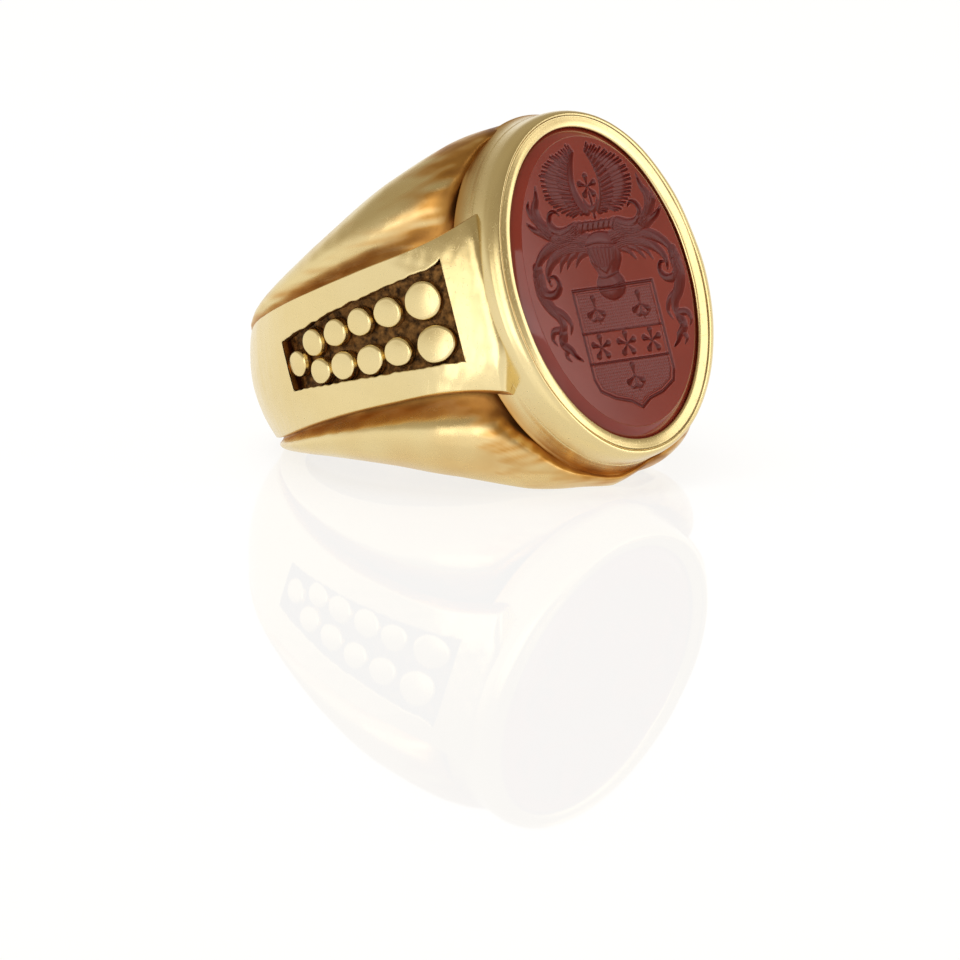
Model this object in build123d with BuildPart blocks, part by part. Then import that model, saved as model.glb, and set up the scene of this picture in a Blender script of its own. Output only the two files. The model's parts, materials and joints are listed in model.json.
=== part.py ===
from build123d import *
import math
import os

os.makedirs("parts", exist_ok=True)

# ---------------------------------------------------------------- driving dimensions (mm)
# Ring coordinates: the finger bore's centre is the origin, Y runs along the finger,
# Z points out of the stone's face and X runs across the shoulders.
bore_r = 9.5                  # US ring size 9
seat_z = 10.2                 # flat saddle seat that carries the bezel
stone_back_z = 10.9
lip_z = 13.03                 # top of the burnished lip
table_z = 13.25               # polished table of the stone
rest_tilt = 21.9              # the face looks up by this angle when the ring lies on its side

# Ovals, as half-width across the shoulders and half-length along the finger;
# the domed rim is a stack of them with their heights.
table_oval = (6.0, 8.2)
lip_oval = (6.6, 8.8)
girdle_oval = (6.8, 9.0)
collet_oval = (7.22, 9.42)
rim_ovals = [
    (8.03, 9.94, 11.40), (8.00, 9.92, 12.10), (7.90, 9.85, 12.50), (7.70, 9.74, 12.86), (7.44, 9.60, 13.07),
]
rim_oval = rim_ovals[0][:2]
gallery_foot_oval = (8.35, 10.25)
bearing_oval = (5.9, 8.1)
window_oval = (5.2, 7.4)

girdle_z = 12.6               # top of the stone's upright edge
rim_foot_z = 11.40
rim_top_z = 13.07
rim_inner_round = 0.08
head_shift = 0.15             # the bezel sits this far off the finger's middle
band_shift = 0.15             # and the band's head this far off it the other way

# The hoop, station by station around the finger from the bezel (0) to the back (180):
# angle, half-width of the band, trough radius, ridge radius, half-width of the trough's foot.
stations = [
    (0, 10.42, 10.25, 10.40, 9.95),
    (12, 10.22, 10.50, 10.75, 9.55),
    (22, 10.02, 11.05, 11.30, 8.55),
    (30, 9.72, 11.65, 11.90, 6.70),
    (37, 9.30, 12.05, 12.30, 4.95),
    (45, 8.76, 11.95, 12.35, 4.20),
    (57, 7.92, 11.75, 12.30, 3.85),
    (72, 6.76, 11.35, 11.85, 3.60),
    (90, 5.60, 11.00, 11.35, 3.45),
    (112, 4.52, 10.75, 11.05, 3.30),
    (132, 3.78, 10.62, 10.92, 2.95),
    (152, 3.12, 10.60, 10.92, 2.35),
    (180, 2.50, 10.60, 10.95, 1.85),
]
flank_r = 9.75                # radius at which the band is widest
flank_drop = 0.15             # it sits lower under the bezel's tips
flank_turn = 0.3              # how far the edge turns in towards the bore
blank_r = 8.6                 # inside of the blank, before the bore is cut

# The raised strap on each shoulder: angle and half-width.
strap_stations = [(28, 5.30), (31, 5.05), (34, 4.80), (40, 4.35), (48, 3.98), (60, 3.74), (75, 3.52), (90, 3.40),
                  (112, 3.25), (132, 2.90), (152, 2.30), (172, 1.85), (180, 1.80), (188, 1.85)]
strap_back_r = 11.35
strap_rise = 6.3
strap_end_z = 12.15           # height at which the strap meets the bezel
strap_blend = 0.5             # softness of the turn from sloping to level
strap_edge_drop = 0.42        # the long edges fall away beside the bezel
strap_crown = 0.10            # the strap's middle stands this much above its edges
strap_back_rise = 0.05        # towards the back the strap swells into a dome: its middle rises
strap_back_fall = 0.50        # and its edges fall
strap_corner = 0.18

# The sunk panel in the strap and the beads soldered to its floor.
panel_start, panel_end = 41.5, 92.6
panel_half_start, panel_half_end = 2.72, 1.42
panel_shift = 0.08            # the panel sits this far off the strap's middle
panel_depth = 0.62
panel_root = 1.6              # the floor blank reaches this far down before the shank is cut away
bead_proud = 0.57             # bead height above the panel's floor
bead_sink = 0.15
bead_waist = 0.05             # the bead's side swells by this much
bead_round = 0.16
beads = [                     # angle, offset along the finger, radius
    (47.2, 1.15, 1.06), (56.2, 1.08, 0.85), (64.2, 1.05, 0.79), (72.2, 0.92, 0.79),
    (80.6, 0.83, 0.78), (88.6, 0.02, 0.76), (80.2, -0.83, 0.75), (72.2, -0.95, 0.83),
    (63.8, -1.12, 0.85), (56.0, -1.16, 0.82), (46.6, -1.32, 1.07),
]


def strap_r(angle):
    """Outer radius of the strap's edges at a hoop angle in degrees; level beside the bezel."""
    around_back = min(angle, 360 - angle)
    rising = strap_back_r + strap_rise * (1 - around_back / 180) ** 3
    if around_back > 60:
        return rising
    level = strap_end_z / math.cos(math.radians(around_back))
    return rising - strap_blend * math.log(1 + math.exp((rising - level) / strap_blend))


def edge_drop(angle):
    """How far the strap's long edges fall away from its middle at a hoop angle."""
    t = min(1, max(0, (56 - angle) / 22))
    return strap_edge_drop * t * t * (3 - 2 * t)


def back_dome(angle):
    """How far the strap has swollen into a dome at a hoop angle, 0 to 1."""
    t = min(1, max(0, (min(angle, 360 - angle) - 70) / 55))
    return t * t * (3 - 2 * t)


def panel_half(angle):
    """Half-width of the sunk panel at a hoop angle."""
    part_way = (angle - panel_start) / (panel_end - panel_start)
    return panel_half_start + (panel_half_end - panel_half_start) * part_way


def radial_plane(angle):
    """Plane through the finger axis: its X is the finger axis and its Y points outwards."""
    a = math.radians(angle)
    return Plane(origin=(0, 0, 0), x_dir=(0, 1, 0), z_dir=(math.cos(a), 0, -math.sin(a)))


def surface_plane(angle, along, radius_at):
    """Plane on a hoop surface, its Z along that surface's outward normal."""
    a = math.radians(angle)
    slope = (radius_at(angle + 0.5) - radius_at(angle - 0.5)) / math.radians(1) / radius_at(angle)
    lean = a - math.atan(slope)
    spot = (radius_at(angle) * math.sin(a), along, radius_at(angle) * math.cos(a))
    return Plane(origin=spot, x_dir=(0, 1, 0), z_dir=(math.sin(lean), 0, math.cos(lean)))


def hoop_section(station):
    """Closed section of the band: flat seat, cove, rounded ridge and turned-in edge on each side."""
    angle, half, trough, ridge, foot = station
    span = half - foot
    flank = flank_r - flank_drop * max(0, 1 - abs(angle) / 37)
    fall = ridge - flank
    shift = -band_shift * min(1, max(0, (52 - abs(angle)) / 20))
    with BuildSketch(radial_plane(angle) * Pos(shift, 0)) as section:
        with BuildLine():
            seat = Line((0, trough), (foot, trough))
            roll = Spline(
                seat @ 1,
                (foot + 0.22 * span, trough + 0.30 * (ridge - trough)),
                (foot + 0.50 * span, ridge),
                (foot + 0.86 * span, ridge - 0.42 * fall),
                (half, flank),
                tangents=[(1, 0.15), (0, -1)],
            )
            turn = Line(roll @ 1, (half - flank_turn, blank_r))
            Line(turn @ 1, (0, blank_r))
            mirror(about=Plane.YZ)
        make_face()
    return section.sketch


def level_plane(height):
    """Plane parallel to the stone's table, centred on the bezel."""
    return Plane.XY.offset(height) * Pos(0, head_shift)


def oval_prism(oval, low, high):
    """Upright oval block between two heights."""
    with BuildPart() as block:
        with BuildSketch(level_plane(low)):
            Ellipse(*oval)
        extrude(amount=high - low)
    return block.part


def strap_section(station):
    """Closed section of the solid strap, down to below the shank's seat."""
    angle, half = station
    top = strap_r(angle)
    drop = edge_drop(angle)
    dome = back_dome(angle)
    low = top - 2.6 + 1.2 * min(1, angle / 180)
    with BuildSketch(radial_plane(angle)) as section:
        with BuildLine():
            crown = Spline(
                (0, top + strap_crown + strap_back_rise * dome),
                (0.6 * half, top + 0.6 * strap_crown - 0.13 * drop),
                (half - strap_corner, top - 0.86 * drop - 0.84 * strap_back_fall * dome),
                (half, top - drop - strap_corner - strap_back_fall * dome),
                tangents=[(1, 0), (0, -1)],
            )
            side = Line(crown @ 1, (half, low))
            Line(side @ 1, (0, low))
            mirror(about=Plane.YZ)
        make_face()
    return section.sketch


def panel_section(angle, low, high, margin=0.0):
    """Rectangle across the sunk panel between two radii, wider by a margin on each side."""
    with BuildSketch(radial_plane(angle)) as section:
        with Locations((panel_shift, (low + high) / 2)):
            Rectangle(2 * (panel_half(angle) + margin), high - low)
    return section.sketch


def floor_r(angle):
    """Radius of the sunk panel's floor."""
    return strap_r(angle) - panel_depth


# ---------------------------------------------------------------- shank
around = [(-12,) + stations[1][1:]] + stations + [(208,) + stations[-2][1:]]
with BuildPart() as half_hoop:
    add([hoop_section(station) for station in around])
    loft()
    split(bisect_by=Plane.YZ, keep=Keep.TOP)

with BuildPart() as bezel_envelope:
    with BuildSketch(level_plane(seat_z)):
        Ellipse(*gallery_foot_oval)
    with BuildSketch(level_plane(rim_foot_z)):
        Ellipse(*rim_oval)
    loft()
    with BuildSketch(level_plane(rim_foot_z)):
        Ellipse(*rim_oval)
    extrude(amount=6)

with BuildPart() as shank:
    add(half_hoop.part)
    mirror(about=Plane.YZ)
    with BuildSketch(Plane.XZ.offset(-20)):
        Circle(bore_r)
    extrude(amount=40, mode=Mode.SUBTRACT)
    add(bezel_envelope.part, mode=Mode.SUBTRACT)
    add(oval_prism(window_oval, 0, 20), mode=Mode.SUBTRACT)

# ---------------------------------------------------------------- bezel and stone
with BuildPart() as bezel_gallery:
    add(bezel_envelope.part)
    add(oval_prism((20, 20), rim_foot_z, 20), mode=Mode.SUBTRACT)
    add(oval_prism(collet_oval, seat_z, 20), mode=Mode.SUBTRACT)

with BuildPart() as bezel_rim:
    for half_width, half_length, height in rim_ovals:
        with BuildSketch(level_plane(height)):
            Ellipse(half_width, half_length)
    loft()
    add(oval_prism(collet_oval, rim_foot_z, rim_top_z), mode=Mode.SUBTRACT)
    top_face = bezel_rim.faces().filter_by(Plane.XY).sort_by(Axis.Z)[-1]
    fillet(top_face.edges().sort_by(SortBy.LENGTH)[0], radius=rim_inner_round)

with BuildPart() as intaglio_stone:
    with BuildSketch(level_plane(stone_back_z)):
        Ellipse(*girdle_oval)
    extrude(amount=girdle_z - stone_back_z)
    with BuildSketch(level_plane(girdle_z)):
        Ellipse(*girdle_oval)
    with BuildSketch(level_plane(table_z)):
        Ellipse(*table_oval)
    loft()

with BuildPart() as bezel_collet:
    add(oval_prism(collet_oval, seat_z, lip_z))
    add(oval_prism(girdle_oval, seat_z, girdle_z), mode=Mode.SUBTRACT)
    add(oval_prism(lip_oval, girdle_z, lip_z), mode=Mode.SUBTRACT)
    add(intaglio_stone.part, mode=Mode.SUBTRACT)

with BuildPart() as stone_bearing:
    add(oval_prism(girdle_oval, seat_z, stone_back_z))
    add(oval_prism(bearing_oval, seat_z, stone_back_z), mode=Mode.SUBTRACT)

# ---------------------------------------------------------------- shoulders
with BuildPart() as strap_blank:
    add([strap_section(station) for station in strap_stations])
    loft()
    split(bisect_by=Plane.YZ, keep=Keep.TOP)

panel_steps = [panel_start + step * (panel_end - panel_start) / 5 for step in range(6)]
with BuildPart() as panel_window:
    add([panel_section(angle, floor_r(angle) - 2.5, strap_r(angle) + 1.5) for angle in panel_steps])
    loft()

with BuildPart() as strap:
    add(strap_blank.part)
    add(shank.part, mode=Mode.SUBTRACT)
    add(bezel_envelope.part, mode=Mode.SUBTRACT)
    add(panel_window.part, mode=Mode.SUBTRACT)

with BuildPart() as panel_floor:
    add([panel_section(angle, floor_r(angle) - panel_root, floor_r(angle), 1.0) for angle in panel_steps])
    loft()
    add(panel_window.part, mode=Mode.INTERSECT)
    add(shank.part, mode=Mode.SUBTRACT)


def bead_on_floor(angle, along, radius):
    """Flattened bead with a swollen side and a rounded top, standing on the panel's floor."""
    base = surface_plane(angle, along, floor_r)
    with BuildPart() as bead:
        with BuildSketch(Plane(origin=base.origin, x_dir=base.x_dir, z_dir=-base.y_dir)):
            with BuildLine():
                foot = Line((0, -bead_sink), (radius, -bead_sink))
                side = Spline(foot @ 1, (radius + bead_waist, 0.45 * bead_proud),
                              (radius, bead_proud - bead_round))
                brow = Spline(side @ 1, (radius - bead_round, bead_proud), tangents=[side % 1, (-1, 0)])
                top = Line(brow @ 1, (0, bead_proud))
                Line(top @ 1, (0, -bead_sink))
            make_face()
        revolve(axis=Axis(base.origin, base.z_dir))
        add(panel_floor.part, mode=Mode.SUBTRACT)
    return bead.part


# ---------------------------------------------------------------- the assembly
pieces = {
    "shank": shank.part,
    "bezel_gallery": bezel_gallery.part,
    "bezel_rim": bezel_rim.part,
    "bezel_collet": bezel_collet.part,
    "stone_bearing": stone_bearing.part,
    "intaglio_stone": intaglio_stone.part,
}
right_side = {"shoulder_strap": strap.part, "panel_floor": panel_floor.part}
for number, bead in enumerate(beads, start=1):
    right_side[f"bead_{number:02d}"] = bead_on_floor(*bead)
for name, piece in right_side.items():
    pieces[f"right_{name}"] = piece
    pieces[f"left_{name}"] = mirror(piece, about=Plane.YZ, mode=Mode.PRIVATE)

# The ring lies on its side: the stone faces -Y and looks up, and the lowest edge is at Z = 0.
laid_down = Location((0, 0, 0), (90 - rest_tilt, 0, 0))
box = Compound(children=[piece.moved(laid_down) for piece in pieces.values()]).bounding_box()
rest_place = Location((-box.center().X, -box.center().Y, -box.min.Z)) * laid_down
print("size", box.size, "bore centre", rest_place.position)

for name, piece in pieces.items():
    with BuildPart() as placed:
        with Locations(rest_place):
            add(piece)
    placed.part.label = name
    export_step(placed.part, f"parts/{name}.step")
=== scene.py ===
import json
import math

import bpy
import numpy as np
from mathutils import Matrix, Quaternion, Vector


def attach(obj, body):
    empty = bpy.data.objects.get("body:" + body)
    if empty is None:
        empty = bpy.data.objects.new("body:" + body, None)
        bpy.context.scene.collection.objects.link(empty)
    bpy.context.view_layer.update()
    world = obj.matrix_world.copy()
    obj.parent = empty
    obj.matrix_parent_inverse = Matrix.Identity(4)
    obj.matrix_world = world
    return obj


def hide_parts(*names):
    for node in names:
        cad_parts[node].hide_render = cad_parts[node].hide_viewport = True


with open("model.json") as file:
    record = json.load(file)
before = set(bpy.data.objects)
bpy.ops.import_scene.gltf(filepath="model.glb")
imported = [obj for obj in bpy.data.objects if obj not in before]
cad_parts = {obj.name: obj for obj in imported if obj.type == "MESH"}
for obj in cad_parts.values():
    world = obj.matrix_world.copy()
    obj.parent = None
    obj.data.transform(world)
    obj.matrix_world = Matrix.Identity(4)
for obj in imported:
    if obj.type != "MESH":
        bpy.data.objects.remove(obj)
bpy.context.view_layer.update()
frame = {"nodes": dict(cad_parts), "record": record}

MM = 0.001

# ---------------------------------------------------------------- ring coordinates
# X runs across the shoulders, Y along the finger and Z out of the stone's face, in millimetres
# from the bore's centre. Angles round the hoop are in degrees, from 0 at the bezel to 180 at the back.
bore = frame["record"]["mounts"][0]
BORE_R = bore["dims"]["r_mm"]
CENTRE = np.array(bore["pos_m"])
ACROSS = np.array((1.0, 0.0, 0.0))
ALONG = np.array(bore["axis"])
OUTWARD = np.cross(ACROSS, ALONG)

# Hoop: angle, half-width of the band, trough radius, ridge radius, half-width of the trough's foot.
STATIONS = np.array([
    (0, 10.42, 10.25, 10.40, 9.95),
    (12, 10.22, 10.50, 10.75, 9.55),
    (22, 10.02, 11.05, 11.30, 8.55),
    (30, 9.72, 11.65, 11.90, 6.70),
    (37, 9.30, 12.05, 12.30, 4.95),
    (45, 8.76, 11.95, 12.35, 4.20),
    (57, 7.92, 11.75, 12.30, 3.85),
    (72, 6.76, 11.35, 11.85, 3.60),
    (90, 5.60, 11.00, 11.35, 3.45),
    (112, 4.52, 10.75, 11.05, 3.30),
    (132, 3.78, 10.62, 10.92, 2.95),
    (152, 3.12, 10.60, 10.92, 2.35),
    (180, 2.50, 10.60, 10.95, 1.85),
])
CREST_SHARE = 0.42  # place of the ridge's crest between the trough's foot and the band's edge
FLANK_R = 9.75  # radius of the band's edge
FLANK_DROP, FLANK_DROP_END = 0.15, 37
FLANK_TURN = 0.15
BAND_SHIFT, BAND_SHIFT_FULL, BAND_SHIFT_END = 0.15, 32, 52  # the band's head sits towards -Y
RIGHT_NARROWING = 0.03  # share by which the right shoulder is narrower

# Strap: angle and half-width.
STRAP = np.array([(28, 5.30), (31, 5.05), (34, 4.80), (40, 4.35), (48, 3.98), (60, 3.74), (75, 3.52),
                  (90, 3.40), (112, 3.25), (132, 2.90), (152, 2.30), (172, 1.85), (180, 1.80)])
STRAP_START = 29.0
STRAP_BACK_R = 11.35
STRAP_RISE = 6.3
STRAP_END_Z = 12.15  # height of the level part beside the bezel
STRAP_CHAMFER, STRAP_CHAMFER_R = 47.0, 14.12
STRAP_LEVEL_END = 62
STRAP_BLEND = 0.20  # softness of the edges between rising, chamfered and level parts
STRAP_BACK_RISE, STRAP_BACK_FALL = 0.05, 0.50
DOME_START, DOME_FULL = 70, 125
STRAP_CROWN = 0.035
STRAP_SIDE = 1.2
STRAP_CORNER = 0.16
EDGE_DROP, EDGE_DROP_FULL, EDGE_DROP_END = 0.42, 34, 56
CORNER_FALL, CORNER_FALL_LENGTH, CORNER_FALL_END = 1.2, 4.5, 35.5

PANEL_START, PANEL_END = 41.5, 92.6
PANEL_HALF_START, PANEL_HALF_END = 2.72, 1.42
PANEL_SHIFT = 0.08
PANEL_DEPTH = 0.62
PANEL_LIP = 0.06  # rounding of the window's edge

# Beads: angle, distance along the finger, radius.
BEADS = [
    (47.2, 1.15, 1.06), (56.2, 1.08, 0.85), (64.2, 1.05, 0.79), (72.2, 0.92, 0.79),
    (80.6, 0.83, 0.78), (88.6, 0.02, 0.76), (80.2, -0.83, 0.75), (72.2, -0.95, 0.83),
    (63.8, -1.12, 0.85), (56.0, -1.16, 0.82), (46.6, -1.32, 1.07),
]
BEAD_PROUD = 0.57  # height of a bead's top over the floor, at the brow
BEAD_EDGE = BEAD_PROUD * 0.66  # height at which the side turns into the brow
BEAD_BROW = 0.21
BEAD_CROWN = 0.06

STONE_BACK_Z, GIRDLE_Z, TABLE_Z = 10.9, 12.6, 13.25
GIRDLE_OVAL, TABLE_OVAL = (6.8, 9.0), (6.0, 8.2)
WINDOW_OVAL, WINDOW_LOW, WINDOW_HIGH = (5.2, 7.4), 4.0, 20.0
WALL_FOOT = (8.35, 10.25)
HEAD_SHIFT = 0.15  # the bezel and stone sit towards +Y


def place(points):
    """Ring coordinates in millimetres to the row frame in metres."""
    points = np.asarray(points, float)
    return CENTRE + MM * (points[..., :1] * ACROSS + points[..., 1:2] * ALONG + points[..., 2:3] * OUTWARD)


def hoop_point(angle, along, radius):
    """Point on the hoop; the angle is positive towards +X."""
    a = np.radians(angle)
    return np.stack(np.broadcast_arrays(radius * np.sin(a), along, radius * np.cos(a)), -1)


def smooth_table(x, table, column):
    """Smooth curve through one column of a station table, level at 180 degrees and at 0."""
    xs, ys = table[:, 0], table[:, column]
    slopes = np.gradient(ys, xs)
    slopes[-1] = 0
    if xs[0] == 0:
        slopes[0] = 0
    x = np.clip(x, xs[0], xs[-1])
    i = np.clip(np.searchsorted(xs, x) - 1, 0, len(xs) - 2)
    h = xs[i + 1] - xs[i]
    t = (x - xs[i]) / h
    a, b = ys[i], ys[i + 1]
    return ((2 * t**3 - 3 * t**2 + 1) * a + (t**3 - 2 * t**2 + t) * h * slopes[i]
            + (-2 * t**3 + 3 * t**2) * b + (t**3 - t**2) * h * slopes[i + 1])


def around_back(angle):
    """Angle from the bezel, 0 to 180, whichever way round."""
    return np.abs((np.asarray(angle, float) + 180) % 360 - 180)


def smooth_step(x):
    """Smooth rise from 0 to 1 while x goes from 0 to 1."""
    t = np.clip(x, 0, 1)
    return t * t * (3 - 2 * t)


def strap_radius(angle):
    """Top of the strap: rising from the back, then level beside the bezel, with a chamfer between."""
    a = around_back(angle)
    near = np.radians(np.minimum(a, STRAP_LEVEL_END))
    rising = STRAP_BACK_R + STRAP_RISE * (1 - a / 180) ** 3
    level = STRAP_END_Z / np.cos(near)
    chamfer = STRAP_CHAMFER_R / np.cos(near - math.radians(STRAP_CHAMFER))
    soft = STRAP_BLEND
    blended = -soft * np.logaddexp(np.logaddexp(-rising / soft, -level / soft), -chamfer / soft)
    return np.where(a > STRAP_LEVEL_END, rising, blended)


def back_dome(angle):
    """How far the strap has swollen into a dome towards the back, 0 to 1."""
    return smooth_step((around_back(angle) - DOME_START) / (DOME_FULL - DOME_START))


def edge_drop(angle):
    """How far the strap's long edges fall away beside the bezel."""
    return EDGE_DROP * smooth_step((EDGE_DROP_END - around_back(angle)) / (EDGE_DROP_END - EDGE_DROP_FULL))


def curve(points, steps):
    """Smooth curve through a few points."""
    p = np.asarray(points, float)
    ends = np.concatenate((2 * p[:1] - p[1:2], p, 2 * p[-1:] - p[-2:-1]))
    out = []
    for i in range(1, len(ends) - 2):
        for t in np.linspace(0, 1, steps, endpoint=False):
            a, b, c, d = ends[i - 1:i + 3]
            out.append(0.5 * ((2 * b) + (c - a) * t + (2 * a - 5 * b + 4 * c - d) * t**2
                              + (3 * b - a - 3 * c + d) * t**3))
    return np.array(out + [p[-1]])


def lumps(points, scale, seed):
    """Smooth random field of about unit size, made of waves in random directions."""
    rng = np.random.default_rng(seed)
    total = np.zeros(points.shape[:-1])
    for _ in range(14):
        direction = rng.normal(size=3)
        direction /= np.linalg.norm(direction)
        pitch = scale * rng.uniform(0.6, 1.7)
        total += np.sin(points @ direction * (2 * math.pi / pitch) + rng.uniform(0, 6.28))
    return total / math.sqrt(7)


# ---------------------------------------------------------------- meshes
def make_mesh(name, points, faces, attributes):
    """Mesh object from ring coordinates, with smooth shading and named vertex values."""
    mesh = bpy.data.meshes.new(name)
    mesh.from_pydata(place(points).tolist(), [], faces)
    mesh.polygons.foreach_set("use_smooth", [True] * len(mesh.polygons))
    for key, values in attributes.items():
        layer = mesh.attributes.new(key, "FLOAT", "POINT")
        layer.data.foreach_set("value", np.asarray(values, np.float32).ravel())
    mesh.update()
    piece = bpy.data.objects.new(name, mesh)
    bpy.context.scene.collection.objects.link(piece)
    return piece


def grid_faces(rows, columns, wrap_rows, wrap_columns, keep=None):
    """Quads of a rows-by-columns grid of vertices."""
    r = np.arange(rows if wrap_rows else rows - 1)
    c = np.arange(columns if wrap_columns else columns - 1)
    r, c = np.meshgrid(r, c, indexing="ij")
    if keep is not None:
        r, c = r[keep], c[keep]
    r, c = r.ravel(), c.ravel()
    r2, c2 = (r + 1) % rows, (c + 1) % columns
    return np.stack((r * columns + c, r * columns + c2, r2 * columns + c2, r2 * columns + c), -1)


def border(numbers):
    """Vertex numbers round the edge of a grid of them, in order."""
    return np.concatenate((numbers[0], numbers[1:, -1], numbers[-1, -2::-1], numbers[-2:0:-1, 0]))


def ring_faces(rings):
    """Quads between neighbouring closed rings of vertex numbers."""
    quads = [np.stack((upper, np.roll(upper, -1), np.roll(lower, -1), lower), -1)
             for upper, lower in zip(rings[:-1], rings[1:])]
    return np.concatenate(quads)


def finish_piece(piece, nodes, material):
    """Hide the nodes that a piece stands for, attach it to the root body, and give it its material."""
    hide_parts(*nodes)
    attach(piece, "root")
    piece.data.materials.append(material)
    return piece


# ---------------------------------------------------------------- materials
CLEAN_GOLD, PALE_GOLD = (0.78, 0.62, 0.30, 1), (0.81, 0.66, 0.345, 1)
AMBER_STAIN, BROWN_STAIN = (0.60, 0.31, 0.075, 1), (0.26, 0.10, 0.022, 1)
# Painted deep shade, for the darkest gaps and recesses.
PAINTED_DEEP_SHADE = (0.09, 0.032, 0.008, 1)
BLACKENED_LOW, BLACKENED_HIGH = (0.022, 0.009, 0.002, 1), (0.26, 0.12, 0.030, 1)
STONE_DARK, STONE_LIGHT = (0.185, 0.022, 0.012, 1), (0.225, 0.030, 0.017, 1)
# Painted shade: the darker red of the engraved cuts.
CARVED_SHADE_RED = (0.125, 0.010, 0.006, 1)
SCRATCH_DIRECTIONS = ((1, 14, 3), (9, 2, 13), (12, 5, 1))


def new_material(name):
    """Material with a lone principled shader."""
    material = bpy.data.materials.new(name)
    material.use_nodes = True
    nodes = material.node_tree.nodes
    nodes.clear()
    output = nodes.new("ShaderNodeOutputMaterial")
    shader = nodes.new("ShaderNodeBsdfPrincipled")
    material.node_tree.links.new(shader.outputs[0], output.inputs[0])
    return material, shader


class Nodes:
    """Short helpers for wiring one material."""

    def __init__(self, material):
        self.tree = material.node_tree

    def link(self, value, socket):
        if isinstance(value, bpy.types.NodeSocket):
            self.tree.links.new(value, socket)
        else:
            socket.default_value = value

    def value_of(self, name):
        node = self.tree.nodes.new("ShaderNodeAttribute")
        node.attribute_name = name
        return node.outputs["Fac"]

    def coordinates(self, scale):
        node = self.tree.nodes.new("ShaderNodeTexCoord")
        mapping = self.tree.nodes.new("ShaderNodeMapping")
        mapping.inputs["Scale"].default_value = scale
        self.tree.links.new(node.outputs["Object"], mapping.inputs["Vector"])
        return mapping.outputs[0]

    def noise(self, scale, detail=4.0, rough=0.55, stretch=(1, 1, 1)):
        node = self.tree.nodes.new("ShaderNodeTexNoise")
        node.inputs["Scale"].default_value = scale
        node.inputs["Detail"].default_value = detail
        node.inputs["Roughness"].default_value = rough
        self.tree.links.new(self.coordinates(stretch), node.inputs["Vector"])
        return node.outputs["Fac"]

    def math(self, operation, a, b=0.0, clamp=False):
        node = self.tree.nodes.new("ShaderNodeMath")
        node.operation = operation
        node.use_clamp = clamp
        self.link(a, node.inputs[0])
        self.link(b, node.inputs[1])
        return node.outputs[0]

    def remap(self, value, low, high, to_low=0.0, to_high=1.0):
        node = self.tree.nodes.new("ShaderNodeMapRange")
        self.link(value, node.inputs["Value"])
        node.inputs["From Min"].default_value = low
        node.inputs["From Max"].default_value = high
        node.inputs["To Min"].default_value = to_low
        node.inputs["To Max"].default_value = to_high
        return node.outputs[0]

    def mix(self, factor, a, b):
        node = self.tree.nodes.new("ShaderNodeMix")
        node.data_type = "RGBA"
        self.link(factor, node.inputs["Factor"])
        self.link(a, node.inputs[6])
        self.link(b, node.inputs[7])
        return node.outputs[2]

    def bump(self, height, distance, strength=1.0, normal=None):
        node = self.tree.nodes.new("ShaderNodeBump")
        node.inputs["Strength"].default_value = strength
        node.inputs["Distance"].default_value = distance
        self.link(height, node.inputs["Height"])
        if normal is not None:
            self.tree.links.new(normal, node.inputs["Normal"])
        return node.outputs[0]


def scratches(n, pitch, threshold):
    """Fine straight marks in a few directions, as 0 to 1."""
    total = None
    for stretch in SCRATCH_DIRECTIONS:
        lines = n.noise(pitch, 2.0, 0.5, stretch)
        marks = n.remap(lines, threshold, threshold + 0.06)
        total = marks if total is None else n.math("MAXIMUM", total, marks)
    return total


def gold_material():
    """Worn gold: clean on the high parts, amber to dark brown where the mesh's stain value is high; that
    value holds patina and also painted shade and a painted reflection, and at its top end gives painted
    deep shade.
    """
    material, shader = new_material("worn_gold")
    n = Nodes(material)
    patina_and_shade = n.value_of("patina_and_shade")
    cloud = n.noise(500.0, 4.0, 0.55)
    fine = n.noise(1500.0, 4.0, 0.6)
    stain_and_shade = n.math("MULTIPLY", patina_and_shade, n.remap(cloud, 0.3, 0.7, 0.8, 1.15), clamp=True)
    clean = n.mix(n.remap(n.noise(160.0, 3.0), 0.35, 0.7), CLEAN_GOLD, PALE_GOLD)
    brown = n.mix(n.remap(stain_and_shade, 0.4, 0.95), AMBER_STAIN, BROWN_STAIN)
    colour = n.mix(n.remap(stain_and_shade, 0.03, 0.5), clean, brown)
    # Painted deep shade where the value passes 0.9: deep in the windows, at the beads' feet and on the lip
    # beside the stone.
    colour = n.mix(n.remap(patina_and_shade, 0.9, 1.0), colour, PAINTED_DEEP_SHADE)
    n.link(colour, shader.inputs["Base Color"])
    shader.inputs["Metallic"].default_value = 1.0
    wear = n.remap(fine, 0.3, 0.75, 0.0, 0.03)
    marks = scratches(n, 700.0, 0.66)
    rough = n.math("ADD", wear, n.remap(stain_and_shade, 0.0, 0.8, 0.22, 0.42))
    rough = n.math("ADD", rough, n.math("MULTIPLY", marks, 0.08))
    n.link(rough, shader.inputs["Roughness"])
    dents = n.bump(n.noise(600.0, 2.0, 0.4), 0.00002, 0.25)
    cuts = n.bump(marks, 0.000003, 0.4, dents)
    n.link(cuts, shader.inputs["Normal"])
    return material


def blackened_material():
    """Rough, dark floor of the sunk panels."""
    material, shader = new_material("blackened_floor")
    n = Nodes(material)
    pits = n.noise(2600.0, 6.0, 0.65)
    colour = n.mix(n.remap(pits, 0.35, 0.72), BLACKENED_LOW, BLACKENED_HIGH)
    n.link(colour, shader.inputs["Base Color"])
    shader.inputs["Metallic"].default_value = 0.85
    n.link(n.remap(pits, 0.3, 0.7, 0.55, 0.35), shader.inputs["Roughness"])
    n.link(n.bump(pits, 0.00006, 0.9), shader.inputs["Normal"])
    return material


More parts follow.
